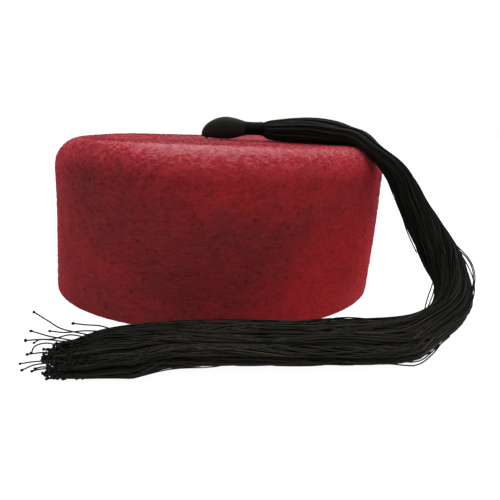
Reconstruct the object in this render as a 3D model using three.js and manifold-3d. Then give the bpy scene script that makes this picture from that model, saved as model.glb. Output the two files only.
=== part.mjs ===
// A fez hat that rests on its rim: a felt crown, open below, with a long thread tassel.
// The tassel is tied through the top, lies over the top and its round edge, falls beside the wall,
// and comes round in front of the hat on the surface that the rim rests on.
// Millimetres, +Z up, +X to the side that the tassel falls on, -Y to the front.

import * as THREE from 'three';
import { mergeVertices } from 'three/addons/utils/BufferGeometryUtils.js';
import Module from 'manifold-3d';

const wasm = await Module();
wasm.setup();

// Crown: outside sizes of the felt
const RIM_RADIUS = 93.2;
const TOP_RADIUS = 93.8;
const CROWN_HEIGHT = 82.5;
const EDGE_RADIUS = 15;
const FELT_THICKNESS = 2.5;
const TOP_LEAN = 3.8; // how far the top sits to the tassel's side of the rim
const DENT_DEPTH = 1.2;

// Tassel head, neck and binding
const HEAD_LENGTH = 25;
const HEAD_RADIUS = 6.4;
const HEAD_START = -9; // the head's nose, along X from the middle of the rim
const NOSE_SAG = 0.75; // the share of the head's taper by which its nose hangs towards the felt
const NECK_RADIUS = 2.5;
const BINDING_LENGTH = 11.4;
const BINDING_THICKNESS = 0.9;
const BINDING_TURNS = 7;
const BINDING_FURROW = 0.4; // between two turns, in mm below their crests

// Tassel skirt: the bundle's largest section, where it lies in front of the hat
const SKIRT_WIDTH = 31;
const SKIRT_DEPTH = 14;
const SKIRT_LOCKS = 9;
const LOCK_GROOVE = 1.3; // how deep the furrow between two locks is
const NECK_FLARE = 3.2; // how much the bundle has swelled a neck's radius past the binding
const LOCK_TURN = 55; // degrees that the locks wind round the bundle from neck to tip
const TIP_REACH = 15; // how far the longest lock stands out of the bundle's end
const TIP_RADIUS = 3.1;
const TIP_END_RADIUS = 1.4;

// Tie and its knot
const TIE_RADIUS = 1;
const TIE_SET = 3; // from the head's nose to the tie
const KNOT_RADIUS = 3.2;

// Between neighbouring pieces
const CLEARANCE = 0.3;

// Shallow hollows in the wall. turn: degrees round from +X. up, tall: shares of the height.
// spread: degrees. depth: share of the dent depth.
const DENTS = [
  { turn: 182, up: 0.52, spread: 34, tall: 0.26, depth: 1.0 },
  { turn: 262, up: 0.7, spread: 22, tall: 0.2, depth: 0.45 },
  { turn: 292, up: 0.3, spread: 26, tall: 0.22, depth: 0.5 },
  { turn: 40, up: 0.45, spread: 30, tall: 0.25, depth: 0.7 },
  { turn: 118, up: 0.6, spread: 26, tall: 0.22, depth: 0.6 },
];

// The head's outline from nose to neck. along: share of the head's length. radius: share of its radius.
const HEAD_OUTLINE = [
  { along: 0.015, radius: 0.24 },
  { along: 0.07, radius: 0.47 },
  { along: 0.18, radius: 0.7 },
  { along: 0.32, radius: 0.87 },
  { along: 0.46, radius: 0.97 },
  { along: 0.6, radius: 1.0 },
  { along: 0.74, radius: 0.94 },
  { along: 0.86, radius: 0.78 },
  { along: 0.95, radius: 0.58 },
];

// The stop knot's outline. down: share of its height. radius: share of its radius.
const KNOT_OUTLINE = [
  { down: 0.93, radius: 0.5 },
  { down: 0.75, radius: 0.87 },
  { down: 0.5, radius: 1 },
  { down: 0.25, radius: 0.87 },
  { down: 0, radius: 0.55 },
];

// The skirt's route past the neck. turn: degrees round from +X. out: share of the top radius, from the
// crown's middle. under: height of the bundle's underside, a share of the crown's height.
// wide, deep: shares of the skirt's width and depth. roll: degrees that the section leans with the edge.
const ROUTE = [
  { turn: -7, out: 0.42, under: 1.0, wide: 0.61, deep: 0.97, roll: 0 },
  { turn: -15.5, out: 0.556, under: 1.0, wide: 0.74, deep: 0.97, roll: 0 },
  { turn: -23, out: 0.695, under: 1.0, wide: 0.68, deep: 0.83, roll: -3 },
  { turn: -29.4, out: 0.828, under: 0.99, wide: 0.58, deep: 0.63, roll: -10 },
  { turn: -33.9, out: 0.948, under: 0.955, wide: 0.52, deep: 0.53, roll: -20 },
  { turn: -36.1, out: 1.05, under: 0.877, wide: 0.465, deep: 0.63, roll: -28 },
  { turn: -36.6, out: 1.119, under: 0.794, wide: 0.44, deep: 0.86, roll: -30 },
  { turn: -36.5, out: 1.177, under: 0.7, wide: 0.45, deep: 0.96, roll: -25 },
  { turn: -36.7, out: 1.232, under: 0.594, wide: 0.49, deep: 1.05, roll: -15 },
  { turn: -36.8, out: 1.302, under: 0.479, wide: 0.57, deep: 1.12, roll: -5 },
  { turn: -37.3, out: 1.374, under: 0.376, wide: 0.62, deep: 1.16, roll: 0 },
  { turn: -38.3, out: 1.442, under: 0.29, wide: 0.61, deep: 1.14, roll: 0 },
  { turn: -40.4, out: 1.496, under: 0.213, wide: 0.55, deep: 1.09, roll: 0 },
  { turn: -43.2, out: 1.532, under: 0.136, wide: 0.58, deep: 1.09, roll: 0 },
  { turn: -46.7, out: 1.54, under: 0.067, wide: 0.67, deep: 1.11, roll: 0 },
  { turn: -50.8, out: 1.52, under: 0.022, wide: 0.78, deep: 1.14, roll: 0 },
  { turn: -56.1, out: 1.468, under: 0.004, wide: 0.9, deep: 1.1, roll: 0 },
  { turn: -62.3, out: 1.413, under: 0, wide: 1.0, deep: 1.03, roll: 0 },
  { turn: -70.6, out: 1.339, under: 0, wide: 1.0, deep: 1.0, roll: 0 },
  { turn: -80.5, out: 1.281, under: 0, wide: 1.0, deep: 1.0, roll: 0 },
  { turn: -90.2, out: 1.263, under: 0, wide: 1.0, deep: 1.0, roll: 0 },
  { turn: -98.7, out: 1.283, under: 0, wide: 1.0, deep: 1.0, roll: 0 },
  { turn: -106, out: 1.364, under: 0, wide: 1.0, deep: 1.0, roll: 0 },
  { turn: -111, out: 1.487, under: 0, wide: 0.86, deep: 0.9, roll: 0 },
];

// The locks' loose tips at the free end. side, lift: where the tip starts, shares of the end section's
// half width and depth. reach: share of the tip reach. aside, rise: how it turns off, shares of its reach.
const TIPS = [
  { side: -0.76, lift: 0.1, reach: 0.5, aside: -0.1, rise: 0.12 },
  { side: -0.5, lift: -0.35, reach: 0.72, aside: -0.16, rise: -0.05 },
  { side: -0.4, lift: 0.4, reach: 0.66, aside: 0.04, rise: 0.14 },
  { side: -0.08, lift: -0.3, reach: 0.9, aside: 0.02, rise: 0 },
  { side: 0.06, lift: 0.42, reach: 0.74, aside: -0.08, rise: 0.12 },
  { side: 0.34, lift: -0.4, reach: 1.0, aside: 0, rise: -0.04 },
  { side: 0.42, lift: 0.25, reach: 0.88, aside: -0.04, rise: 0.03 },
  { side: 0.66, lift: -0.15, reach: 0.8, aside: -0.2, rise: -0.06 },
];

// Fineness of the meshes
const CROWN_SIDES = 60;
const WALL_STEPS = 6;
const EDGE_STEPS = 6;
const POINTS_A_LOCK = 4;
const SECTIONS_A_ROW = 3;
const HEAD_SIDES = 24;
const TIP_SIDES = 8;
const TIP_STEPS = 4;
const TIE_SIDES = 12;

const UP = new THREE.Vector3(0, 0, 1);
const TOP_INSIDE = CROWN_HEIGHT - FELT_THICKNESS;
const HEAD_HEIGHT = CROWN_HEIGHT + CLEARANCE + HEAD_RADIUS; // the head's axis, lying on the top
const NOSE_HEIGHT = HEAD_HEIGHT - NOSE_SAG * HEAD_RADIUS;
const TIE_X = HEAD_START + TIE_SET;
const HEAD_END = HEAD_START + HEAD_LENGTH;
const SKIRT_START = HEAD_END + BINDING_LENGTH + 2 * CLEARANCE;

const feltRed = new THREE.MeshStandardMaterial({ color: 0x7a2026, roughness: 0.95, metalness: 0 });
const threadBlack = new THREE.MeshStandardMaterial({ color: 0x1b1a18, roughness: 0.6, metalness: 0 });
const bindingBlack = new THREE.MeshStandardMaterial({ color: 0x221f1c, roughness: 0.55, metalness: 0 });
const tieBrown = new THREE.MeshStandardMaterial({ color: 0x4a403a, roughness: 0.7, metalness: 0 });

// A closed three.js mesh as a solid that can be joined and cut
function solidOf(geometry) {
  const bare = geometry.clone();
  bare.deleteAttribute('normal');
  bare.deleteAttribute('uv');
  const merged = mergeVertices(bare, 1e-4);
  return new wasm.Manifold(new wasm.Mesh({
    numProp: 3,
    vertProperties: new Float32Array(merged.attributes.position.array),
    triVerts: new Uint32Array(merged.index.array),
  }));
}

function geometryOf(solid) {
  const mesh = solid.getMesh();
  const geometry = new THREE.BufferGeometry();
  geometry.setAttribute('position', new THREE.BufferAttribute(mesh.vertProperties, 3));
  geometry.setIndex(new THREE.BufferAttribute(mesh.triVerts, 1));
  geometry.computeVertexNormals();
  return geometry;
}

// A turned shape that stands along +Z
function turned(profile, sides) {
  return new THREE.LatheGeometry(profile, sides).rotateX(Math.PI / 2);
}

// Rings of equal point counts skinned into a closed body, each end shut by a fan to its middle
function skinned(rings) {
  const count = rings[0].length;
  const points = rings.flat();
  const faces = [];
  for (let row = 0; row + 1 < rings.length; row += 1) {
    for (let k = 0; k < count; k += 1) {
      const a = row * count + k;
      const b = row * count + (k + 1) % count;
      faces.push(a, b, a + count);
      faces.push(b, b + count, a + count);
    }
  }
  const last = (rings.length - 1) * count;
  const firstMiddle = points.push(middleOf(rings[0])) - 1;
  const lastMiddle = points.push(middleOf(rings[rings.length - 1])) - 1;
  for (let k = 0; k < count; k += 1) {
    const next = (k + 1) % count;
    faces.push(next, k, firstMiddle);
    faces.push(last + k, last + next, lastMiddle);
  }
  const geometry = new THREE.BufferGeometry().setFromPoints(points);
  geometry.setIndex(faces);
  return geometry;
}

function middleOf(ring) {
  const middle = new THREE.Vector3();
  for (const point of ring) {
    middle.add(point);
  }
  return middle.divideScalar(ring.length);
}

// The crown's middle at a height: the whole cap leans a little
function leanAt(height) {
  return TOP_LEAN * height / CROWN_HEIGHT;
}

// How far the wall is pushed in by the dents, at a turn in radians and a height
function dentAt(turn, height) {
  let depth = 0;
  for (const dent of DENTS) {
    let apart = THREE.MathUtils.radToDeg(turn) - dent.turn;
    apart -= 360 * Math.round(apart / 360);
    const across = apart / dent.spread;
    const above = (height / CROWN_HEIGHT - dent.up) / dent.tall;
    depth += DENT_DEPTH * dent.depth * Math.exp(-across * across - above * above);
  }
  return depth;
}

// Half of the felt's outline, from the middle of the top out and down to the rim, moved in by a depth
function wallOutline(inset) {
  const edge = EDGE_RADIUS - inset;
  const flat = TOP_RADIUS - EDGE_RADIUS;
  const edgeHeight = CROWN_HEIGHT - EDGE_RADIUS;
  const points = [new THREE.Vector2(0, CROWN_HEIGHT - inset)];
  points.push(new THREE.Vector2(flat / 2, CROWN_HEIGHT - inset));
  for (let step = 0; step <= EDGE_STEPS; step += 1) {
    const angle = Math.PI / 2 * (1 - step / EDGE_STEPS);
    points.push(new THREE.Vector2(flat + edge * Math.cos(angle), edgeHeight + edge * Math.sin(angle)));
  }
  for (let step = 1; step <= WALL_STEPS; step += 1) {
    const share = 1 - step / WALL_STEPS;
    const outside = THREE.MathUtils.lerp(RIM_RADIUS, TOP_RADIUS, share);
    points.push(new THREE.Vector2(outside - inset, edgeHeight * share));
  }
  return points;
}

// The felt cap: an open shell, leaned and dented alike inside and out, with the tie's hole through its top
function crown() {
  const outline = [...wallOutline(FELT_THICKNESS), ...wallOutline(0).reverse()];
  const shell = turned(outline, CROWN_SIDES);
  const place = shell.attributes.position;
  for (let k = 0; k < place.count; k += 1) {
    const x = place.getX(k);
    const y = place.getY(k);
    const height = place.getZ(k);
    const share = Math.hypot(x, y) / TOP_RADIUS;
    const pushed = dentAt(Math.atan2(y, x), height) * share * share / TOP_RADIUS;
    place.setXYZ(k, x * (1 - pushed) + leanAt(height), y * (1 - pushed), height);
  }
  const drill = new THREE.CylinderGeometry(
    TIE_RADIUS + CLEARANCE, TIE_RADIUS + CLEARANCE, 3 * FELT_THICKNESS, TIE_SIDES);
  drill.rotateX(Math.PI / 2);
  drill.translate(TIE_X, 0, CROWN_HEIGHT - FELT_THICKNESS / 2);
  return geometryOf(solidOf(shell).subtract(solidOf(drill)));
}

// The nearest way out of the crown from a point outside it: the distance to the felt and the felt's normal
function crownSeat(point) {
  const x = point.x - leanAt(point.z);
  const out = Math.hypot(x, point.y);
  const flat = TOP_RADIUS - EDGE_RADIUS;
  const edgeHeight = CROWN_HEIGHT - EDGE_RADIUS;
  if (out <= flat) {
    return { gap: point.z - CROWN_HEIGHT, normal: UP.clone() };
  }
  const sideways = new THREE.Vector3(x / out, point.y / out, 0);
  if (point.z <= edgeHeight) {
    const wall = THREE.MathUtils.lerp(RIM_RADIUS, TOP_RADIUS, point.z / edgeHeight);
    return { gap: out - wall, normal: sideways };
  }
  const normal = sideways.multiplyScalar(out - flat).addScaledVector(UP, point.z - edgeHeight);
  const gap = normal.length() - EDGE_RADIUS;
  return { gap, normal: normal.normalize() };
}

// One section of the bundle: its middle, its two half axes and how they point
function sectionAt(middle, along, halfWidth, halfDepth, roll) {
  const upright = UP.clone().addScaledVector(along, -UP.dot(along)).normalize();
  upright.applyAxisAngle(along, THREE.MathUtils.degToRad(roll));
  const side = new THREE.Vector3().crossVectors(upright, along);
  return { middle: middle.clone(), along, side, upright, halfWidth, halfDepth };
}

// How far a section reaches from its middle in a direction
function reachOf(section, direction) {
  return Math.hypot(
    section.halfWidth * section.side.dot(direction), section.halfDepth * section.upright.dot(direction));
}

// Lays a section on what carries it: clear of the felt, and no lower than the surface under the hat
function seated(section) {
  const seat = crownSeat(section.middle);
  const lack = reachOf(section, seat.normal) + CLEARANCE - seat.gap;
  if (lack > 0) {
    section.middle.addScaledVector(seat.normal, lack);
  }
  const low = section.middle.z - reachOf(section, UP);
  if (low < 0) {
    section.middle.z -= low;
  }
  return section;
}

// The bundle's sections from the neck to the free end
function skirtSections() {
  const headAxis = new THREE.Vector3(SKIRT_START, 0, HEAD_HEIGHT);
  const flareAxis = new THREE.Vector3(SKIRT_START + NECK_RADIUS, 0, HEAD_HEIGHT);
  const middles = [headAxis, flareAxis];
  const sizes = [
    new THREE.Vector3(NECK_RADIUS, NECK_RADIUS, 0),
    new THREE.Vector3(NECK_RADIUS + NECK_FLARE, NECK_RADIUS + NECK_FLARE, 0),
  ];
  for (const row of ROUTE) {
    const halfWidth = row.wide * SKIRT_WIDTH / 2;
    const halfDepth = row.deep * SKIRT_DEPTH / 2;
    const turn = THREE.MathUtils.degToRad(row.turn);
    const height = row.under * CROWN_HEIGHT + halfDepth;
    const out = row.out * TOP_RADIUS;
    middles.push(new THREE.Vector3(
      out * Math.cos(turn) + leanAt(height), out * Math.sin(turn), height));
    sizes.push(new THREE.Vector3(halfWidth, halfDepth, row.roll));
  }
  const route = new THREE.CatmullRomCurve3(middles);
  const section = new THREE.CatmullRomCurve3(sizes);
  const steps = (middles.length - 1) * SECTIONS_A_ROW;
  const sections = [];
  for (let step = 0; step <= steps; step += 1) {
    const size = section.getPoint(step / steps);
    sections.push(seated(sectionAt(
      route.getPoint(step / steps), route.getTangent(step / steps), size.x, size.y, size.z)));
  }
  return sections;
}

// The outline of one section, with a furrow between each two locks
function lockedRing(section, turn) {
  const count = SKIRT_LOCKS * POINTS_A_LOCK;
  const ring = [];
  for (let k = 0; k < count; k += 1) {
    const angle = 2 * Math.PI * k / count + turn;
    const furrow = k % POINTS_A_LOCK === 0 ? LOCK_GROOVE * 2 / SKIRT_DEPTH : 0;
    const point = section.middle.clone();
    point.addScaledVector(section.side, section.halfWidth * (1 - furrow) * Math.cos(angle));
    point.addScaledVector(section.upright, section.halfDepth * (1 - furrow) * Math.sin(angle));
    ring.push(point);
  }
  return ring;
}

function skirt(sections) {
  const turn = THREE.MathUtils.degToRad(LOCK_TURN);
  const rings = sections.map((section, k) => lockedRing(section, turn * k / sections.length));
  return solidOf(skinned(rings));
}

// One lock's loose tip: a tapered strip that starts inside the bundle's end
function tip(end, row) {
  const reach = row.reach * TIP_REACH;
  const start = end.middle.clone();
  start.addScaledVector(end.side, row.side * end.halfWidth);
  start.addScaledVector(end.upright, row.lift * end.halfDepth);
  const rings = [];
  for (let step = 0; step <= TIP_STEPS; step += 1) {
    const share = step / TIP_STEPS;
    const middle = start.clone();
    middle.addScaledVector(end.along, share * (reach + TIP_RADIUS) - TIP_RADIUS);
    middle.addScaledVector(end.side, share * share * row.aside * reach);
    middle.addScaledVector(UP, share * share * row.rise * reach);
    const radius = THREE.MathUtils.lerp(TIP_RADIUS, TIP_END_RADIUS, share * share);
    const section = seated(sectionAt(middle, end.along, radius, radius, 0));
    const ring = [];
    for (let k = 0; k < TIP_SIDES; k += 1) {
      const angle = 2 * Math.PI * k / TIP_SIDES;
      const point = section.middle.clone();
      point.addScaledVector(section.side, radius * Math.cos(angle));
      point.addScaledVector(section.upright, radius * Math.sin(angle));
      ring.push(point);
    }
    rings.push(ring);
  }
  return solidOf(skinned(rings));
}

// The knob and the neck, turned about the head's axis, with the nose let down towards the felt
function head() {
  const profile = [new THREE.Vector2(0, 0)];
  for (const row of HEAD_OUTLINE) {
    profile.push(new THREE.Vector2(row.radius * HEAD_RADIUS, row.along * HEAD_LENGTH));
  }
  profile.push(new THREE.Vector2(NECK_RADIUS, HEAD_LENGTH));
  profile.push(new THREE.Vector2(NECK_RADIUS, SKIRT_START - HEAD_START + NECK_RADIUS));
  profile.push(new THREE.Vector2(0, SKIRT_START - HEAD_START + NECK_RADIUS));
  const widest = HEAD_LENGTH * HEAD_OUTLINE.find((row) => row.radius === 1).along;
  const shape = turned(profile, HEAD_SIDES).rotateY(Math.PI / 2);
  const place = shape.attributes.position;
  for (let k = 0; k < place.count; k += 1) {
    const taper = HEAD_RADIUS - Math.hypot(place.getY(k), place.getZ(k));
    if (place.getX(k) < widest) {
      place.setZ(k, place.getZ(k) - NOSE_SAG * taper);
    }
  }
  return solidOf(shape.translate(HEAD_START, 0, HEAD_HEIGHT));
}

// Head, neck, skirt and tips in one body, with a socket in the head for the tie
function tassel() {
  const sections = skirtSections();
  let body = head().add(skirt(sections));
  for (const row of TIPS) {
    body = body.add(tip(sections[sections.length - 1], row));
  }
  const socketDepth = HEAD_RADIUS;
  const socket = new THREE.CylinderGeometry(
    TIE_RADIUS + CLEARANCE, TIE_RADIUS + CLEARANCE, socketDepth, TIE_SIDES);
  socket.rotateX(Math.PI / 2);
  socket.translate(TIE_X, 0, NOSE_HEIGHT + 2 * CLEARANCE - socketDepth / 2);
  return geometryOf(body.subtract(solidOf(socket)));
}

// Thread wound close round the neck: a sleeve with a rounded ridge for each turn
function neckBinding() {
  const inside = NECK_RADIUS + CLEARANCE;
  const pitch = BINDING_LENGTH / BINDING_TURNS;
  const crest = inside + BINDING_THICKNESS;
  const furrow = crest - BINDING_FURROW;
  const profile = [new THREE.Vector2(inside, 0), new THREE.Vector2(furrow, 0)];
  for (let k = 0; k < BINDING_TURNS; k += 1) {
    profile.push(new THREE.Vector2(crest, (k + 1 / 3) * pitch));
    profile.push(new THREE.Vector2(crest, (k + 2 / 3) * pitch));
    profile.push(new THREE.Vector2(furrow, (k + 1) * pitch));
  }
  profile.push(new THREE.Vector2(inside, BINDING_LENGTH));
  profile.push(profile[0].clone());
  return turned(profile, HEAD_SIDES).rotateY(Math.PI / 2);
}

// The tie: a stop knot under the felt and a straight stem up through the top into the head
function tasselTie() {
  const knotTop = TOP_INSIDE - CLEARANCE;
  const profile = [new THREE.Vector2(0, knotTop - 2 * KNOT_RADIUS)];
  for (const row of KNOT_OUTLINE) {
    profile.push(new THREE.Vector2(row.radius * KNOT_RADIUS, knotTop - row.down * 2 * KNOT_RADIUS));
  }
  profile.push(new THREE.Vector2(TIE_RADIUS, knotTop));
  profile.push(new THREE.Vector2(TIE_RADIUS, NOSE_HEIGHT));
  profile.push(new THREE.Vector2(0, NOSE_HEIGHT + CLEARANCE));
  return turned(profile, TIE_SIDES);
}

function piece(name, geometry, material) {
  const mesh = new THREE.Mesh(geometry, material);
  mesh.name = name;
  return mesh;
}

const hat = new THREE.Group();
hat.add(piece('crown', crown(), feltRed));
hat.add(piece('tassel', tassel(), threadBlack));

const binding = piece('neck_binding', neckBinding(), bindingBlack);
binding.position.set(HEAD_END + CLEARANCE, 0, HEAD_HEIGHT);
hat.add(binding);

const tie = piece('tassel_tie', tasselTie(), tieBrown);
tie.position.set(TIE_X, 0, 0);
hat.add(tie);

// The part stands on the middle of its own footprint
const middle = new THREE.Box3().setFromObject(hat).getCenter(new THREE.Vector3());
hat.position.set(-middle.x, -middle.y, 0);
const group = new THREE.Group();
group.add(hat);

export default group;
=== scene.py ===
import math

import bpy
import numpy as np
from mathutils import Matrix, Vector


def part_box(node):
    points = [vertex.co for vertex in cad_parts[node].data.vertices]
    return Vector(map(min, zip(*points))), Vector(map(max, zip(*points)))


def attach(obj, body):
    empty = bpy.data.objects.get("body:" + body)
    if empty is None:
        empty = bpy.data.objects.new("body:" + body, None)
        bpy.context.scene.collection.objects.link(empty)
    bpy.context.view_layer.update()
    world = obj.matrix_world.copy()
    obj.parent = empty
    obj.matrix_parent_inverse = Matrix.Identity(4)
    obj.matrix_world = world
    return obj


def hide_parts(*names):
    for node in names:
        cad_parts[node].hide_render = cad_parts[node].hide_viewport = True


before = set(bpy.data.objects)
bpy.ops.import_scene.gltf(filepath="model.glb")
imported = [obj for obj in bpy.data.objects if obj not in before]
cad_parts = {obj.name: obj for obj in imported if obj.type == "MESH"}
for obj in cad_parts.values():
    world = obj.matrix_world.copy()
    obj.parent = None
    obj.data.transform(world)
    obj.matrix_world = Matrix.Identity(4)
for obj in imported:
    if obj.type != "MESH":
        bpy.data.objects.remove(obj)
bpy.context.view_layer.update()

# Camera
# It stands low and close in front of the hat, turned a little to the tassel's side and rolled by a
# degree and a half, as the photograph shows the hat. It is placed from the middle of the hat's rim.
CAMERA_BACK = 0.304
CAMERA_HEIGHT = 0.0927
CAMERA_RIGHT = math.radians(4.12)
CAMERA_DOWN = math.radians(14.38)
CAMERA_ROLL = math.radians(1.68)
CAMERA_LENS = 35.82
RIM_LEVEL = 1e-5        # the solid's corners below this height are its rim's

rim_corners = [corner.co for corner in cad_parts["crown"].data.vertices if corner.co.z < RIM_LEVEL]
rim_across = [corner.x for corner in rim_corners]
rim_deep = [corner.y for corner in rim_corners]
HAT_X = (min(rim_across) + max(rim_across)) / 2
HAT_Y = (min(rim_deep) + max(rim_deep)) / 2

camera_data = bpy.data.cameras.new("camera")
camera_data.lens = CAMERA_LENS
camera = bpy.data.objects.new("camera", camera_data)
bpy.context.scene.collection.objects.link(camera)
camera.matrix_world = (
    Matrix.Translation((HAT_X, HAT_Y - CAMERA_BACK, CAMERA_HEIGHT))
    @ Matrix.Rotation(-CAMERA_RIGHT, 4, "Z")
    @ Matrix.Rotation(math.pi / 2 - CAMERA_DOWN, 4, "X")
    @ Matrix.Rotation(CAMERA_ROLL, 4, "Z")
)
bpy.context.scene.camera = camera


# Felt crown
# A cap of wool felt, blocked in one piece: a nearly upright wall, a round top edge and a flat top, open
# below with a cut edge. The felt has no lining, and a small hole in the top lets the tassel's tie through.
RIM_RADIUS = (max(rim_across) - min(rim_across)) / 2
TOP_RADIUS = 0.0938
CROWN_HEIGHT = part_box("crown")[1].z
EDGE_RADIUS = 0.015
FLAT_RADIUS = TOP_RADIUS - EDGE_RADIUS
WALL_HEIGHT = CROWN_HEIGHT - EDGE_RADIUS
FELT = 0.0025
TOP_LEAN = 0.0038       # how far the top sits to the tassel's side of the rim
DENT_DEPTH = 0.0012
TIE_RADIUS = 0.001
CLEARANCE = 0.0003
TIE_X = -0.006          # from the middle of the rim
HOLE_SIDES = 16
CROWN_SIDES = 132
WALL_RINGS = 34
EDGE_RINGS = 11
TOP_RINGS = 18
TOP_EYE = 0.003         # radius of the last ring round the middle of the top
EDGE_BEVEL = 0.0006
BEVEL_ANGLE = math.radians(50)
LUMP_SIZE = 0.019
LUMP_DEPTH = 0.0005
GRAIN_SIZE = 0.0022
GRAIN_DEPTH = 0.00028
CLOUD_DETAIL = 3

# Three tables of patches on the wall. turn, spread: degrees round from +X. up, tall: shares of the height.
# The first holds the felt's hollows, as shares of the dent depth, below nought where the felt swells.
DENTS = (
    # turn, up, spread, tall, share
    (182, 0.52, 34, 0.26, 0.4),
    (262, 0.7, 22, 0.2, 0.45),
    (292, 0.3, 26, 0.22, 0.5),
    (40, 0.45, 30, 0.25, 0.7),
    (118, 0.6, 26, 0.22, 0.6),
    (345, 0.45, 30, 0.36, -0.75),
    (228, 0.0, 24, 0.24, -0.7),
    (315, 0.0, 24, 0.25, -0.5),
)

# Where the wall is rubbed up, and in the first row a painted patch of light low on the front's right: shares
# of the strongest brushing.
RUBBED_AND_LIT = (
    # turn, up, spread, tall, share
    (322, 0.03, 12, 0.15, 0.34),
    (203, 0.5, 7, 0.5, 0.1),
    (75, 0.3, 16, 0.2, 0.12),
)

# Where the felt is brighter than the rest, and duller where the share is below nought: partly uneven dye, and
# partly painted light and shade. The first row is painted shade low on the front, the next three are painted
# light low at the front's right, on its right side and high across it.
EVEN_DYE = 0.38
DYE_AND_LIGHT_PATCHES = (
    # turn, up, spread, tall, share
    (262, 0.36, 32, 0.42, -0.15),
    (314, 0.1, 25, 0.34, 1.05),
    (325, 0.5, 24, 0.4, 0.3),
    (285, 0.88, 50, 0.2, 0.42),
    (233, 0.8, 16, 0.26, -0.36),
    (205, 0.5, 26, 0.6, 0.1),
    (60, 0.4, 60, 0.4, 0.15),
    (140, 0.5, 40, 0.4, -0.12),
)

# Where the nap is brushed up, and painted paler as a highlight of the light from above: degrees from the wall
# over the round edge to the flat top, and how far.
BRUSHED_AND_LIT = (
    (0, 0.02), (8, 0.10), (20, 0.27), (32, 0.46), (48, 0.64), (62, 0.84), (74, 1.0), (82, 0.98), (90, 0.70))
BRUSHED_AND_LIT_BELOW = 0.003   # it starts this far below the round edge

# How strongly it is brushed round the edge, with its painted highlight, and how much lower the band lies
# there.
# turn and lower: degrees. share: of the strength above.
HIGHLIGHT_ROUND = (
    # turn, share, lower
    (0, 0.8, 4), (60, 0.9, 0), (120, 0.75, 5), (180, 0.85, 0), (222, 0.54, 0), (240, 0.72, 0), (256, 1.06, 0),
    (275, 0.95, 6), (292, 0.80, 9), (310, 0.72, 12), (328, 0.7, 15), (360, 0.76, 4))
ROUND_FADE = 6          # how fast these differences fade from the edge to the middle of the top

# Where the top stands up behind the tassel, and where the tassel's weight presses it in. x, y: from the
# middle of the rim. turn: degrees, of the long way. long, wide, rise: metres.
TOP_FORM = (
    # x, y, turn, long, wide, rise
    (-0.055, 0.046, 0, 0.040, 0.024, 0.0007),
    (0.024, 0.045, 0, 0.030, 0.024, 0.0020),
    (0.046, -0.020, -33, 0.036, 0.016, -0.0013),
)


def top_rise(x, y):
    """How far the felt's top is above its flat height at a place."""
    total = 0
    for middle_x, middle_y, turn, long, wide, rise in TOP_FORM:
        angle = math.radians(turn)
        ahead = (x - middle_x) * math.cos(angle) + (y - middle_y) * math.sin(angle)
        beside = (y - middle_y) * math.cos(angle) - (x - middle_x) * math.sin(angle)
        total = total + rise * np.exp(-(ahead / long) ** 2 - (beside / wide) ** 2)
    return total


def lean_at(height):
    """How far the crown's middle has leaned towards the tassel's side at a height."""
    return TOP_LEAN * height / CROWN_HEIGHT


def wall_radius(share):
    """The wall's radius at a share of the way up it."""
    return RIM_RADIUS + (TOP_RADIUS - RIM_RADIUS) * share


def deselect_all():
    """Leaves nothing selected, so that the next operator takes only its own piece."""
    for thing in bpy.context.selected_objects:
        thing.select_set(False)


def pick(thing):
    """Makes one piece the selected and active one."""
    deselect_all()
    thing.select_set(True)
    bpy.context.view_layer.objects.active = thing


def turned_shape(name, rings, sides, closed_start):
    """A shape raised ring by ring from a circle. rings holds (radius, height, shift along X)."""
    deselect_all()
    first_radius, first_height, first_shift = rings[0]
    bpy.ops.mesh.primitive_circle_add(
        vertices=sides, radius=first_radius, fill_type="NGON" if closed_start else "NOTHING",
        location=(first_shift, 0, first_height), enter_editmode=True)
    bpy.ops.object.mode_set(mode="OBJECT")
    bpy.ops.object.transform_apply(location=True, rotation=True, scale=True)
    bpy.ops.object.mode_set(mode="EDIT")
    bpy.ops.mesh.select_mode(type="EDGE")
    bpy.ops.mesh.select_all(action="SELECT")
    for (radius, height, shift), (new_radius, new_height, new_shift) in zip(rings, rings[1:]):
        bpy.ops.mesh.extrude_edges_move(
            TRANSFORM_OT_translate={"value": (new_shift - shift, 0, new_height - height)})
        factor = new_radius / radius
        bpy.ops.transform.resize(value=(factor, factor, 1), center_override=(new_shift, 0, new_height))
    bpy.ops.mesh.edge_face_add()
    bpy.ops.mesh.poke()
    bpy.ops.mesh.select_all(action="SELECT")
    bpy.ops.mesh.normals_make_consistent(inside=False)
    bpy.ops.object.mode_set(mode="OBJECT")
    shape = bpy.context.active_object
    shape.name = name
    shape.data.name = name
    return shape


def corners_of(shape):
    """The piece's corners as rows of x, y, z."""
    places = np.empty(len(shape.data.vertices) * 3)
    shape.data.vertices.foreach_get("co", places)
    return places.reshape(-1, 3)


def put_corners(shape, places):
    """Puts the piece's corners where the rows say."""
    shape.data.vertices.foreach_set("co", places.ravel())
    shape.data.update()


def finish_with(shape, kind, **settings):
    """Adds one modifier to a piece and applies it."""
    pick(shape)
    modifier = shape.modifiers.new(kind.lower(), kind)
    for setting, value in settings.items():
        setattr(modifier, setting, value)
    bpy.ops.object.modifier_apply(modifier=modifier.name)


def cloud(name, size):
    """A soft cloud pattern of one lump size, for raising a surface."""
    texture = bpy.data.textures.new(name, "CLOUDS")
    texture.noise_scale = size
    texture.noise_depth = CLOUD_DETAIL
    return texture


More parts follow.
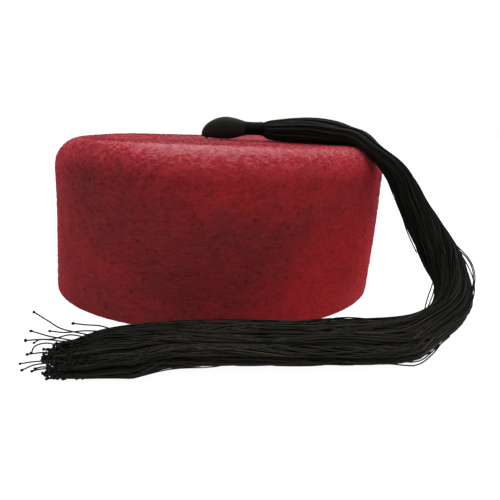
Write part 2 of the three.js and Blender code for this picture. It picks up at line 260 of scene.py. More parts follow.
def crown_rings():
    """The felt's outside from the rim to the middle of the top, as (radius, height, shift)."""
    outline = [(wall_radius(share), WALL_HEIGHT * share) for share in np.linspace(0, 1, WALL_RINGS)]
    for angle in np.linspace(0, math.pi / 2, EDGE_RINGS + 1)[1:]:
        radius = FLAT_RADIUS + EDGE_RADIUS * math.cos(angle)
        outline.append((radius, WALL_HEIGHT + EDGE_RADIUS * math.sin(angle)))
    for radius in np.linspace(FLAT_RADIUS, TOP_EYE, TOP_RINGS)[1:]:
        outline.append((radius, CROWN_HEIGHT))
    return [(float(radius), float(height), lean_at(float(height))) for radius, height in outline]


def turn_of(x, y):
    """How far round from +X a place is, in degrees."""
    return np.degrees(np.arctan2(y, x))


def patches_at(turn, height, patches):
    """What a table of the wall's patches adds up to at each place: most in a patch's middle, less outward."""
    total = np.zeros(len(turn))
    for middle, up, spread, tall, share in patches:
        apart = turn - middle
        apart -= 360 * np.round(apart / 360)
        above = (height / CROWN_HEIGHT - up) / tall
        total += share * np.exp(-(apart / spread) ** 2 - above ** 2)
    return total


def push_in_dents(places):
    """Moves the wall in where the felt has its hollows, and the top up or down where it isn't flat."""
    turn = turn_of(places[:, 0] - lean_at(places[:, 2]), places[:, 1])
    out = np.hypot(places[:, 0], places[:, 1]) / TOP_RADIUS
    pushed = DENT_DEPTH * patches_at(turn, places[:, 2], DENTS)
    places[:, :2] *= (1 - pushed * out ** 2 / TOP_RADIUS)[:, None]
    upper = np.clip((places[:, 2] - CROWN_HEIGHT) / EDGE_RADIUS + 1, 0, 1)
    places[:, 2] += top_rise(places[:, 0], places[:, 1]) * upper
    return places


felt_crown = turned_shape("felt_crown", crown_rings(), CROWN_SIDES, closed_start=False)
put_corners(felt_crown, push_in_dents(corners_of(felt_crown)))
finish_with(felt_crown, "SOLIDIFY", thickness=FELT, offset=-1, use_even_offset=True)

deselect_all()
bpy.ops.mesh.primitive_cylinder_add(
    vertices=HOLE_SIDES, radius=TIE_RADIUS + CLEARANCE, depth=3 * FELT,
    location=(TIE_X, 0, CROWN_HEIGHT - FELT / 2))
tie_drill = bpy.context.active_object
finish_with(felt_crown, "BOOLEAN", object=tie_drill, operation="DIFFERENCE", solver="EXACT")
bpy.data.objects.remove(tie_drill)

finish_with(
    felt_crown, "BEVEL", width=EDGE_BEVEL, segments=1, limit_method="ANGLE", angle_limit=BEVEL_ANGLE)
finish_with(felt_crown, "SUBSURF", levels=1, render_levels=1)
for pattern, size, depth in (("felt_lumps", LUMP_SIZE, LUMP_DEPTH), ("felt_grain", GRAIN_SIZE, GRAIN_DEPTH)):
    finish_with(
        felt_crown, "DISPLACE", texture=cloud(pattern, size), texture_coords="LOCAL", strength=depth,
        mid_level=0.5)


def to_hat_place(places):
    """From the middle of the hat's rim to the part's own origin, and no lower than the surface under it."""
    moved = places + np.array((HAT_X, HAT_Y, 0))
    moved[..., 2] = np.maximum(moved[..., 2], 0)
    return moved


def brushed_and_lit_at(places):
    """How far the nap stands up, with its painted highlight: little on the wall, most where the top turns
    over its round edge.
    """
    out = np.hypot(places[:, 0] - lean_at(places[:, 2]), places[:, 1])
    along_edge = np.arctan2(places[:, 2] - CROWN_HEIGHT + EDGE_RADIUS, out - TOP_RADIUS + EDGE_RADIUS)
    turn = turn_of(places[:, 0], places[:, 1]) % 360
    turns, shares, lowers = zip(*HIGHLIGHT_ROUND)
    outward = np.clip(out / FLAT_RADIUS, 0, 1) ** ROUND_FADE
    here = 1 + (np.interp(turn, turns, shares) - 1) * outward
    degrees = np.minimum(np.degrees(along_edge) + np.interp(turn, turns, lowers), 90)
    standing_and_lit = np.interp(degrees, *zip(*BRUSHED_AND_LIT)) * here
    standing_and_lit = np.where(places[:, 2] > WALL_HEIGHT - BRUSHED_AND_LIT_BELOW, standing_and_lit, 0)
    return standing_and_lit + patches_at(turn, places[:, 2], RUBBED_AND_LIT)


def dyed_and_lit(places):
    """How bright the felt is, from 0 to 1: its dye, with painted shade low in the middle of the front and
    painted light beside and above it.
    """
    turn = turn_of(places[:, 0], places[:, 1])
    return np.clip(EVEN_DYE + patches_at(turn, places[:, 2], DYE_AND_LIGHT_PATCHES), 0, 1)


def add_shade(piece, name, values):
    """Gives every corner of a piece a value from 0 to 1 that its material reads."""
    attribute = piece.data.attributes.new(name, "FLOAT", "POINT")
    attribute.data.foreach_set("value", np.ascontiguousarray(values, dtype=np.float32).ravel())


# The brushed nap with its painted highlight, and the dye with painted light and shade, as shades for the
# felt.
add_shade(felt_crown, "brushed_and_lit", brushed_and_lit_at(corners_of(felt_crown)))
add_shade(felt_crown, "dyed_and_lit", dyed_and_lit(corners_of(felt_crown)))
put_corners(felt_crown, to_hat_place(corners_of(felt_crown)))
pick(felt_crown)
bpy.ops.object.shade_smooth()

# Wool colours in linear light
FELT_DARK = (0.092, 0.0142, 0.0160)
FELT_RED = (0.127, 0.0134, 0.0152)
FELT_BRIGHT = (0.245, 0.0134, 0.0160)
# The next two are the raised nap of the top edge with a painted highlight of the light from above, palest
# where the top turns over.
FELT_RAISED_AND_LIT = (0.275, 0.0230, 0.0330)
FELT_HIGHLIGHT = (0.360, 0.1260, 0.1400)
FELT_SHEEN = (1.0, 0.12, 0.17, 1)

# How matted curls, specks and single hairs darken or brighten the dye: a pattern's level, and the colour
# that the dye is multiplied by.
CURLS = (
    (0.29, (0.62, 0.68, 0.68)), (0.43, (0.95, 0.95, 0.95)), (0.58, (1.05, 1.0, 1.0)),
    (0.72, (1.28, 1.12, 1.12)))
SPECKS = (
    (0.30, (0.5, 0.55, 0.55)), (0.38, (1.0, 1.0, 1.0)), (0.66, (1.0, 1.0, 1.0)),
    (0.74, (1.3, 1.3, 1.3)))
HAIRS = (
    (0.30, (0.58, 0.62, 0.62)), (0.42, (1.0, 1.0, 1.0)), (0.58, (1.0, 1.0, 1.0)),
    (0.72, (1.55, 1.65, 1.65)))
SPECK_SHARE = 0.7


class Finish:
    """One material of the hat, with a short way to add each kind of node that makes its look."""

    def __init__(self, name):
        self.material = bpy.data.materials.new(name)
        self.material.use_nodes = True
        self.nodes = self.material.node_tree.nodes
        self.links = self.material.node_tree.links
        self.shader = self.nodes["Principled BSDF"]

    def node(self, kind, sources, values=None, **settings):
        """A node, with the outputs that feed it and the values of its other inputs, both by input."""
        made = self.nodes.new("ShaderNode" + kind)
        for setting, value in settings.items():
            setattr(made, setting, value)
        for entry, value in (values or {}).items():
            made.inputs[entry].default_value = value
        for entry, source in sources.items():
            self.links.new(source, made.inputs[entry])
        return made

    def object_place(self):
        """The place on the piece, from the hat's origin."""
        return self.node("TexCoord", {}).outputs["Object"]

    def shade(self, name):
        """A shade that add_shade gave to the piece."""
        return self.node("Attribute", {}, attribute_name=name).outputs["Fac"]

    def scaled(self, source, scale):
        """A place or map with a scale for each axis, so that a pattern on it is drawn out one way."""
        return self.node("Mapping", {"Vector": source}, {"Scale": scale}).outputs["Vector"]

    def noise(self, source, scale, detail, roughness=0.55, distortion=0):
        """A noise pattern at a number of lumps to the metre."""
        values = {"Scale": scale, "Detail": detail, "Roughness": roughness, "Distortion": distortion}
        return self.node("TexNoise", {"Vector": source}, values).outputs["Fac"]

    def ramp(self, level, stops):
        """A colour for each level of a pattern."""
        colours = self.node("ValToRGB", {"Fac": level})
        elements = colours.color_ramp.elements
        while len(elements) < len(stops):
            elements.new(0.5)
        for element, (place, colour) in zip(elements, stops):
            element.position = place
            element.color = (*colour, 1)
        return colours.outputs["Color"]

    def mixed(self, mode, share, first, second):
        """Two colours laid over each other, by one share all over or by a pattern's level."""
        mixer = self.node("Mix", {6: first, 7: second}, data_type="RGBA", blend_type=mode)
        if isinstance(share, float):
            mixer.inputs[0].default_value = share
        else:
            self.links.new(share, mixer.inputs[0])
        return mixer.outputs[2]

    def joined(self, operation, first, second):
        """Two levels put together, kept from 0 to 1."""
        return self.node("Math", {0: first, 1: second}, operation=operation, use_clamp=True).outputs[0]

    def blended(self, share, first, second):
        """Two levels, the second one taken by a share."""
        return self.node("Mix", {0: share, 2: first, 3: second}, data_type="FLOAT").outputs[0]

    def spread(self, level, old, new):
        """A pattern's level moved from one range to another."""
        values = {"From Min": old[0], "From Max": old[1], "To Min": new[0], "To Max": new[1]}
        return self.node("MapRange", {"Value": level}, values).outputs["Result"]

    def relief(self, level, strength, distance, under=None):
        """A pattern as fine relief, on top of a first one where there is one."""
        bump = self.node("Bump", {"Height": level}, {"Strength": strength, "Distance": distance})
        if under is not None:
            self.links.new(under, bump.inputs["Normal"])
        return bump.outputs["Normal"]

    def done(self, values, colour=None, relief=None):
        """The finished material: its shader's own values, its colour and its relief."""
        for entry, value in values.items():
            self.shader.inputs[entry].default_value = value
        for entry, source in (("Base Color", colour), ("Normal", relief)):
            if source is not None:
                self.links.new(source, self.shader.inputs[entry])
        return self.material


def felt_material():
    """Brushed wool felt: an uneven dark red with matted curls and specks, with painted light and shade, and
    paler where the nap stands up and a highlight is painted on it.
    """
    felt = Finish("wool_felt")
    place = felt.object_place()
    dye_and_light_level = felt.shade("dyed_and_lit")
    brushed_and_lit = felt.shade("brushed_and_lit")

    mottle = felt.noise(place, scale=60, detail=6, roughness=0.62)
    # Painted light and shade on the wall come in with the dye's level, and darken or brighten its colour.
    uneven = felt.joined("ADD", dye_and_light_level, felt.spread(mottle, (0.3, 0.7), (-0.22, 0.22)))
    dye_and_light = felt.ramp(uneven, ((0.0, FELT_DARK), (0.36, FELT_RED), (1.0, FELT_BRIGHT)))

    flat = felt.scaled(place, (0.5, 0.5, 1.15))
    curls = felt.noise(flat, scale=360, detail=4, roughness=0.66, distortion=1)
    specks = felt.noise(place, scale=420, detail=2, roughness=0.6)
    round_wall = felt.scaled(place, (0.16, 0.16, 1.5))
    hairs = felt.noise(round_wall, scale=900, detail=3, roughness=0.7)
    matting = felt.spread(dye_and_light_level, (0.2, 0.75), (1.0, 0.4))
    curled = felt.mixed("MULTIPLY", matting, dye_and_light, felt.ramp(curls, CURLS))
    specked = felt.mixed("MULTIPLY", SPECK_SHARE, curled, felt.ramp(specks, SPECKS))
    combed = felt.mixed("MULTIPLY", matting, specked, felt.ramp(hairs, HAIRS))

    # The pale band round the top edge: brushed nap with a painted highlight of the light from above on it.
    brushing = felt.scaled(place, (0.62, 0.62, 1.25))
    tufts = felt.noise(brushing, scale=620, detail=6, roughness=0.72, distortion=0.35)
    tufted = felt.joined("MULTIPLY", brushed_and_lit, felt.spread(tufts, (0.40, 0.60), (0.28, 1.38)))
    smoothed = felt.spread(brushed_and_lit, (0.50, 0.72), (0, 0.7))
    raised_and_lit = felt.blended(smoothed, tufted, brushed_and_lit)
    standing_and_lit = felt.ramp(raised_and_lit, ((0.50, FELT_RAISED_AND_LIT), (0.98, FELT_HIGHLIGHT)))
    cover = felt.spread(raised_and_lit, (0.04, 0.5), (0, 1))

    grain = felt.noise(place, scale=1500, detail=4, roughness=0.7)
    rough = felt.relief(grain, strength=0.4, distance=0.0004)
    return felt.done(
        {"Roughness": 0.95, "Specular IOR Level": 0.01, "Sheen Weight": 0.24, "Sheen Roughness": 0.3,
         "Sheen Tint": FELT_SHEEN},
        colour=felt.mixed("MIX", cover, combed, standing_and_lit),
        relief=felt.relief(curls, strength=0.3, distance=0.0005, under=rough))


felt_crown.data.materials.clear()
felt_crown.data.materials.append(felt_material())
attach(felt_crown, "root")
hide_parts("crown")


# Felt nap
# Single wool fibres that stand out of the felt, most of them brushed round the wall and lying nearly
# flat. Each is a closed sliver, thick in the middle and pointed at both ends.
NAP_FIBRES = 30000
NAP_STREWN = 4          # times as many are strewn, and those that would crowd a place are left out
NAP_LENGTH = (0.0009, 0.0030)
NAP_THICKNESS = 0.00006
NAP_LIFT = 0.00022
NAP_SPREAD = math.radians(42)
NAP_ON_WALL = 0.45      # how thick it stands on the wall, a share of the top's
NAP_SEED = 11
LIFT_SHARES = (0.3, 1.0)        # a fibre's own lift, a share of the nap's
MIDDLE_LIFT = 1.1               # and how high its middle and its tip stand, shares of its own
TIP_LIFTS = (-0.6, 2.2)
WOOL_TONES = (2.2, 3.0)         # how the fibres' tones are spread: the two shapes of a beta spread
WOOL_TONE = 0.6                 # the brightest tone of a fibre that isn't brushed up
BRUSHED_AND_LIT_TONES = (0.3, 0.9)      # and how much brighter brushing and its painted highlight make it
UP = np.array((0.0, 0.0, 1.0))


def mesh_piece(name, places, faces_of_size):
    """A smooth piece from rows of corners and one array of faces for each face size."""
    mesh = bpy.data.meshes.new(name)
    mesh.vertices.add(len(places))
    mesh.vertices.foreach_set("co", np.ascontiguousarray(places, dtype=np.float32).ravel())
    loops = np.concatenate([faces.ravel() for faces in faces_of_size]).astype(np.int32)
    counts = np.concatenate([np.full(len(faces), faces.shape[1]) for faces in faces_of_size])
    starts = np.concatenate(([0], np.cumsum(counts)[:-1])).astype(np.int32)
    mesh.loops.add(len(loops))
    mesh.loops.foreach_set("vertex_index", loops)
    mesh.polygons.add(len(counts))
    mesh.polygons.foreach_set("loop_start", starts)
    mesh.polygons.foreach_set("use_smooth", np.full(len(counts), True))
    mesh.update(calc_edges=True)
    mesh.validate()
    piece = bpy.data.objects.new(name, mesh)
    bpy.context.scene.collection.objects.link(piece)
    return piece


def unit(rows):
    """Rows of vectors at length one."""
    return rows / np.maximum(np.linalg.norm(rows, axis=-1, keepdims=True), 1e-12)


def nap_fibres():
    """Slivers of wool strewn evenly over the felt's outside."""
    random = np.random.default_rng(NAP_SEED)
    edge_run = EDGE_RADIUS * math.pi / 2
    run = random.uniform(0, 1, NAP_STREWN * NAP_FIBRES) * (WALL_HEIGHT + edge_run + FLAT_RADIUS)
    angle = np.clip((run - WALL_HEIGHT) / EDGE_RADIUS, 0, math.pi / 2)
    on_top = np.maximum(run - WALL_HEIGHT - edge_run, 0)
    radius = np.where(
        run < WALL_HEIGHT, wall_radius(np.clip(run / WALL_HEIGHT, 0, 1)),
        FLAT_RADIUS + EDGE_RADIUS * np.cos(angle) - on_top)
    thick = np.where(run < WALL_HEIGHT - EDGE_RADIUS / 3, NAP_ON_WALL, 1)
    kept = random.uniform(0, TOP_RADIUS, len(run)) < radius * thick
    run, angle, radius = (rows[kept][:NAP_FIBRES] for rows in (run, angle, radius))
    count = len(run)
    height = np.minimum(run, WALL_HEIGHT) + EDGE_RADIUS * np.sin(angle)
    turn = random.uniform(0, 2 * math.pi, count)
    level = np.zeros(count)
    out = np.column_stack((np.cos(turn), np.sin(turn), level))
    around = np.column_stack((-np.sin(turn), np.cos(turn), level))
    root = np.column_stack((radius * out[:, 0] + lean_at(height), radius * out[:, 1], height))
    root = push_in_dents(root)
    normal = out * np.cos(angle)[:, None] + UP * np.sin(angle)[:, None]
    up_felt = np.cross(normal, around)
    way = random.normal(0, NAP_SPREAD, count) + np.where(random.uniform(0, 1, count) < 0.5, 0, math.pi)
    along = around * np.cos(way)[:, None] + up_felt * np.sin(way)[:, None]
    length = random.uniform(*NAP_LENGTH, count)[:, None]
    lift = random.uniform(*LIFT_SHARES, count)[:, None] * NAP_LIFT
    middle = root + along * length / 2 + normal * lift * MIDDLE_LIFT
    tip = root + along * length + normal * lift * random.uniform(*TIP_LIFTS, count)[:, None]
    across = np.cross(normal, along)
    ring = [
        middle + NAP_THICKNESS * (across * math.cos(third) + normal * math.sin(third))
        for third in np.radians((0, 120, 240))]
    places = np.stack([root - normal * NAP_THICKNESS, *ring, tip], 1)
    corners = places.shape[1]
    sliver = np.array(((0, 2, 1), (0, 3, 2), (0, 1, 3), (4, 1, 2), (4, 2, 3), (4, 3, 1)))
    faces = (corners * np.arange(count)[:, None, None] + sliver).reshape(-1, 3)
    piece = mesh_piece("felt_nap", to_hat_place(places.reshape(-1, 3)), [faces])
    # A fibre's own tone, made paler by the painted highlight where the nap is brushed up.
    tone = random.beta(*WOOL_TONES, count) * WOOL_TONE
    tone += brushed_and_lit_at(root) * random.uniform(*BRUSHED_AND_LIT_TONES, count)
    add_shade(piece, "tone", np.repeat(np.clip(tone, 0, 1), corners))
    return piece


def nap_material():
    """Loose wool in the felt's own red, from its darkest to the pale pink of the painted highlight."""
    wool = Finish("wool_nap")
    colour = wool.ramp(
        wool.shade("tone"),
        ((0.0, FELT_DARK), (0.3, FELT_RED), (0.6, FELT_BRIGHT), (0.8, FELT_RAISED_AND_LIT), (1.0, FELT_HIGHLIGHT)))
    return wool.done({"Roughness": 0.9, "Specular IOR Level": 0.05}, colour)


felt_nap = nap_fibres()
felt_nap.data.materials.append(nap_material())
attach(felt_nap, "root")


# Tassel skirt
# Loose black threads by the hundred, in clumps that drift over each other. They are bound at the neck, lie
# over the top and the round edge, fall beside the wall, and come round in front on the surface, where their
# cut ends fray.
HEAD_LENGTH = 0.025
HEAD_RADIUS = 0.0064
HEAD_START = -0.009     # the nose's place, from the middle of the rim
NOSE_SAG = 0.75         # how far the nose is let down, a share of the head's radius
NECK_RADIUS = 0.0025
BINDING_LENGTH = 0.0114
HEAD_HEIGHT = CROWN_HEIGHT + CLEARANCE + HEAD_RADIUS
HEAD_END = HEAD_START + HEAD_LENGTH
SKIRT_START = HEAD_END + BINDING_LENGTH + 2 * CLEARANCE
BOUND_RADIUS = NECK_RADIUS + 0.0006     # the outside of the threads where the binding draws them in

# How the threads swell out from under the binding and down onto the felt, in metres. along: from its end.
NECK_SWELL = (
    # along, half the width, half the depth, drop
    (-0.005, BOUND_RADIUS, BOUND_RADIUS, 0),
    (-0.0014, BOUND_RADIUS + 0.0002, BOUND_RADIUS + 0.0002, 0),
    (0.0002, 0.0043, 0.0043, 0),
    (0.0025, 0.0070, 0.0057, 0.0005),
)
PRESSED_IN = 0.0003     # how deep they lie in the felt's nap
SKIRT_WIDTH = 0.031
SKIRT_DEPTH = 0.014
SKIRT_LOCKS = 9
LOCK_GROOVE = 0.0016    # how deep the furrow between two locks is
LOCK_SHARPNESS = 4      # and how narrow
LOCK_TURN = math.radians(55)
TIP_REACH = 0.024       # the furthest that a thread stands out of the skirt's end

# turn: degrees round from +X. out: share of the top radius. under: height of the underside, a share of the
# crown's height. wide, deep: shares of the skirt's width and depth. roll: degrees.
ROUTE = (
    # turn, out, under, wide, deep, roll
    (-7, 0.42, 1.0, 0.61, 0.97, 0),
    (-15.5, 0.556, 1.0, 0.74, 1.03, 0),
    (-23, 0.695, 1.0, 0.68, 0.91, -3),
    (-29.4, 0.828, 0.99, 0.58, 0.69, -10),
    (-33.9, 0.948, 0.955, 0.52, 0.54, -20),
    (-36.1, 1.05, 0.877, 0.465, 0.63, -28),
    (-36.6, 1.119, 0.794, 0.44, 0.86, -30),
    (-36.5, 1.177, 0.7, 0.45, 0.96, -25),
    (-36.7, 1.232, 0.594, 0.49, 1.05, -15),
    (-36.8, 1.302, 0.479, 0.57, 1.12, -5),
    (-37.3, 1.374, 0.376, 0.62, 1.16, 0),
    (-38.3, 1.442, 0.29, 0.61, 1.14, 0),
    (-40.4, 1.496, 0.213, 0.55, 1.09, 0),
    (-43.2, 1.532, 0.136, 0.58, 1.09, 0),
    (-46.7, 1.54, 0.067, 0.67, 1.11, 0),
    (-50.8, 1.52, 0.022, 0.78, 1.07, 0),
    (-56.1, 1.468, 0.004, 0.9, 1.02, 0),
    (-62.3, 1.413, 0, 1.0, 1.03, 0),
    (-70.6, 1.339, 0, 1.0, 1.0, 0),
    (-80.5, 1.281, 0, 1.0, 1.0, 0),
    (-90.2, 1.263, 0, 1.0, 1.0, 0),
    (-98.7, 1.283, 0, 1.0, 1.0, 0),
    (-106, 1.364, 0, 1.0, 1.0, 0),
    (-111, 1.487, 0, 0.86, 0.9, 0),
)

STEPS_A_ROW = 8
THREAD_STEPS = 94
NECK_STEPS = 4          # the first steps, where the neck's own sizes are kept
THREAD_BUNCHING = 0.45  # how much closer the steps stand at the neck than at the free end
END_STEPS = 10
THREAD_RADIUS = 0.00036
THREAD_SIDES = 4
CLUMPS = 58
THREADS_A_CLUMP = 10
THREADS = CLUMPS * THREADS_A_CLUMP
THREADS_A_PIECE = 194   # so that the threads make three pieces of nearly one size
THREAD_SEED = 5
CORE_SHARE = 0.7        # the bundle's inside, a share of its section
CORE_SIDES = 28
CORE_ENDS = 2           # it ends this many steps before the threads do
SAME_PLACE = 1e-4       # root of a distance, under which two points of a line count as one

# Along the run, in metres: how far the loose threads spread to the front, and how far they are drawn in
# on the side that faces the hat.
FRONT_SPREAD = (
    (0.098, 0.0), (0.110, 0.0012), (0.120, 0.0006), (0.132, 0.0024), (0.142, 0.0014), (0.155, 0.0006),
    (0.165, 0.0010), (0.174, 0.0010), (0.182, -0.0012), (0.190, -0.0022), (0.198, 0.0008), (0.205, 0.0044),
    (0.213, 0.0044), (0.225, 0.0026), (0.270, 0.0022), (0.285, 0.0032), (0.2945, 0.0034), (0.3025, 0.0044),
    (0.310, 0.0068), (0.318, 0.0094), (0.3255, 0.0064), (0.333, 0.0014))
DRAWN_IN = (
    (0.108, 0.0), (0.126, -0.0012), (0.142, -0.0024), (0.152, -0.0014), (0.162, 0.0010), (0.172, 0.0030),
    (0.182, 0.0044), (0.192, 0.0034), (0.208, 0.0))
END_SETTLES = 0.55      # height of the longest tip, a share of what it is before the threads part
SETTLE_RUN = 0.009      # they begin to settle this far before the skirt's end
END_WAY = np.array((-1.0, 0.12, 0.0))   # the free ends lie straight along the front
END_FOLLOWS = 0.35      # and how much they still follow the bundle
END_CURL = 0.0018
THREAD_GUIDE = np.array((0.105, -0.35, 1.0))    # a way that no thread runs, to set its section by

# How much the threads have come loose along the run, in metres.
LOOSENED = ((0.0, 0.02), (0.06, 0.3), (0.12, 0.45), (0.18, 0.75), (0.26, 1.0))
STEADY = 0.3            # how much single threads drift where nothing is loose

# Slow waves in which clumps and threads drift: the shortest and the longest, in metres, and how far, as
# shares of the bundle's section or as radians round it.
CLUMP_OUTWARD = ((0.10, 0.22, 0.10), (0.05, 0.10, 0.05))
CLUMP_ROUND = ((0.14, 0.30, 0.60), (0.07, 0.13, 0.16))
THREAD_SIDEWAYS = ((0.08, 0.18, 0.04), (0.035, 0.07, 0.012))
THREAD_UPWARD = ((0.08, 0.18, 0.065), (0.035, 0.07, 0.02))
INNER_AREA = 0.34       # the share of the section's area that the clumps leave to the core
CLUMP_WIDTH = 0.085     # spread of a clump's threads, shares of the section
CLUMP_HEIGHT = 0.12
SKIN = (0.84, 1.0)      # where the outermost threads are held, shares of the section
SKIN_GIVE = 0.1         # how much of what is past that is left
THINNEST = 0.34         # a thread's least thickness where the bundle is drawn in
THICKNESSES = (0.8, 1.15)

# Where the threads are cut, as shares of the longest reach past the skirt's end.
CUT = 0.50
CUT_ON_TOP = -0.34      # shorter at the top
CUT_IN_FRONT = 0.06     # longer on the front
CUT_SPREAD = 0.09       # of whole clumps
CUT_SHORT = 0.13        # and single threads are shorter by this on average
CUT_LIMITS = (-1.2, 1.0)

# The threads' tones: their own, and how much lighter they are painted along the run, in metres: painted light
# over the top and along the front, painted shade where they fall beside the wall.
BROWN_SHARE = 0.14      # threads that took less of the dye
BROWN_TONES = (0.4, 0.9)
BROWN_LEVEL = 0.3       # tones above this are brown
BROWN_LIT_ALONG_RUN = (0.35, 3.2)       # a brown tone's share where no light is painted on it, and how it grows
BLACK_TONES = (-0.14, 0.14)
CLUMP_TONE = 0.08
PAINTED_LIGHT_ALONG_RUN = (
    (0.0, 0.12), (0.06, 0.10), (0.10, 0.07), (0.135, 0.02), (0.17, 0.03), (0.20, 0.19), (0.28, 0.24),
    (0.33, 0.14))


def through(points, share):
    """A smooth line through rows of points, by the spacing of the points, at shares of its count."""
    last = len(points) - 1
    padded = np.vstack((2 * points[0] - points[1], points, 2 * points[-1] - points[-2]))
    step = np.minimum((share * last).astype(int), last - 1)
    part = (share * last - step)[:, None]
    a, b, c, d = (padded[step + k] for k in range(4))
    ab, bc, cd = (
        np.sqrt(np.linalg.norm(q - p, axis=1))[:, None] for p, q in ((a, b), (b, c), (c, d)))
    ab, cd = np.where(ab < SAME_PLACE, bc, ab), np.where(cd < SAME_PLACE, bc, cd)
    start = bc * ((b - a) / ab - (c - a) / (ab + bc) + (c - b) / bc)
    end = bc * ((c - b) / bc - (d - b) / (bc + cd) + (d - c) / cd)
    third = -3 * b + 3 * c - 2 * start - end
    fourth = 2 * b - 2 * c + start + end
    return b + start * part + third * part ** 2 + fourth * part ** 3


def crown_seat(point):
    """How far a point is from the felt, and the felt's normal there."""
    x = point[0] - lean_at(point[2])
    out = math.hypot(x, point[1])
    top = CROWN_HEIGHT + top_rise(point[0], point[1])
    if out <= FLAT_RADIUS:
        return point[2] - top, UP
    sideways = np.array((x / out, point[1] / out, 0))
    if point[2] <= WALL_HEIGHT:
        return out - wall_radius(point[2] / WALL_HEIGHT), sideways
    normal = sideways * (out - FLAT_RADIUS) + UP * (point[2] - WALL_HEIGHT - top + CROWN_HEIGHT)
    length = float(np.linalg.norm(normal))
    return length - EDGE_RADIUS, normal / length


def skirt_line():
    """The bundle's middle line, with its half sizes in metres and its roll in radians."""
    middles = [(SKIRT_START + along, 0, HEAD_HEIGHT - drop) for along, _, _, drop in NECK_SWELL]
    sizes = [(half_width, half_depth, 0) for _, half_width, half_depth, _ in NECK_SWELL]
    for turn, out, under, wide, deep, roll in ROUTE:
        half_depth = deep * SKIRT_DEPTH / 2
        height = under * CROWN_HEIGHT + half_depth
        angle = math.radians(turn)
        x = out * TOP_RADIUS * math.cos(angle) + lean_at(height)
        y = out * TOP_RADIUS * math.sin(angle)
        sunk = float(top_rise(x, y)) * (out < 1) / 2
        middles.append((x, y, height + sunk))
        sizes.append((wide * SKIRT_WIDTH / 2, half_depth - sunk, math.radians(roll)))
    share = np.linspace(0, 1, (len(middles) - 1) * STEPS_A_ROW + 1)
    line = through(np.array(middles, float), share)
    rows = np.linspace(0, 1, len(sizes))
    return line, np.column_stack([np.interp(share, rows, column) for column in zip(*sizes)])


def evened(line, columns, steps):
    """The line and its columns at distances that widen towards the free end."""
    run = np.concatenate(([0], np.cumsum(np.linalg.norm(np.diff(line, axis=0), axis=1))))
    share = np.linspace(0, 1, steps)
    even = run[-1] * ((1 - THREAD_BUNCHING) * share + THREAD_BUNCHING * share ** 2)
    moved, sized = (
        np.column_stack([np.interp(even, run, column) for column in rows.T]) for rows in (line, columns))
    return moved, sized, even


def softened(columns, passes):
    """Rows smoothed along their length, ends kept."""
    for _ in range(passes):
        columns[1:-1] = (columns[:-2] + 2 * columns[1:-1] + columns[2:]) / 4
    return columns


def frames_along(line, rolls):
    """The way to the left and the upright way at each point of a line."""
    along = unit(np.gradient(line, axis=0))
    upright = unit(UP - along * (along @ UP)[:, None])
    side = np.cross(upright, along)
    turn = rolls[:, None]
    rolled = upright * np.cos(turn) - side * np.sin(turn)
    return np.cross(rolled, along), rolled


skirt_middle, skirt_size = skirt_line()
skirt_middle, skirt_size, skirt_run = evened(skirt_middle, skirt_size, THREAD_STEPS)
skirt_size[NECK_STEPS:] = softened(skirt_size[NECK_STEPS:], passes=2)
skirt_side, skirt_upright = frames_along(skirt_middle, skirt_size[:, 2])
for k in range(THREAD_STEPS):
    gap, normal = crown_seat(skirt_middle[k])
    half_width, half_depth, _ = skirt_size[k]
    reach = math.hypot(half_width * (skirt_side[k] @ normal), half_depth * (skirt_upright[k] @ normal))
    skirt_middle[k] += normal * max(0, reach - PRESSED_IN - gap)
    low = math.hypot(half_width * skirt_side[k, 2], half_depth * skirt_upright[k, 2])
    skirt_middle[k, 2] = max(skirt_middle[k, 2], low)
SKIRT_LENGTH = skirt_run[-1]

spread_out = np.interp(skirt_run, *zip(*FRONT_SPREAD))
drawn_in = np.interp(skirt_run, *zip(*DRAWN_IN))
skirt_size[:, 0] += (spread_out - drawn_in) / 2
skirt_middle += skirt_side * ((spread_out + drawn_in) / 2)[:, None]


def tube_faces(count, steps, sides):
    """The walls of a number of closed tubes, and the faces that close their ends."""
    first = (np.arange(count) * steps * sides)[:, None, None]
    row = first + (np.arange(steps - 1) * sides)[None, :, None]
    here = np.arange(sides)[None, None, :]
    ahead = (here + 1) % sides
    walls = np.stack((row + here, row + ahead, row + sides + ahead, row + sides + here), -1)
    start_caps = first[:, 0] + np.arange(sides)[::-1]
    end_caps = first[:, 0] + (steps - 1) * sides + np.arange(sides)
    return walls.reshape(-1, 4), np.concatenate((start_caps, end_caps))


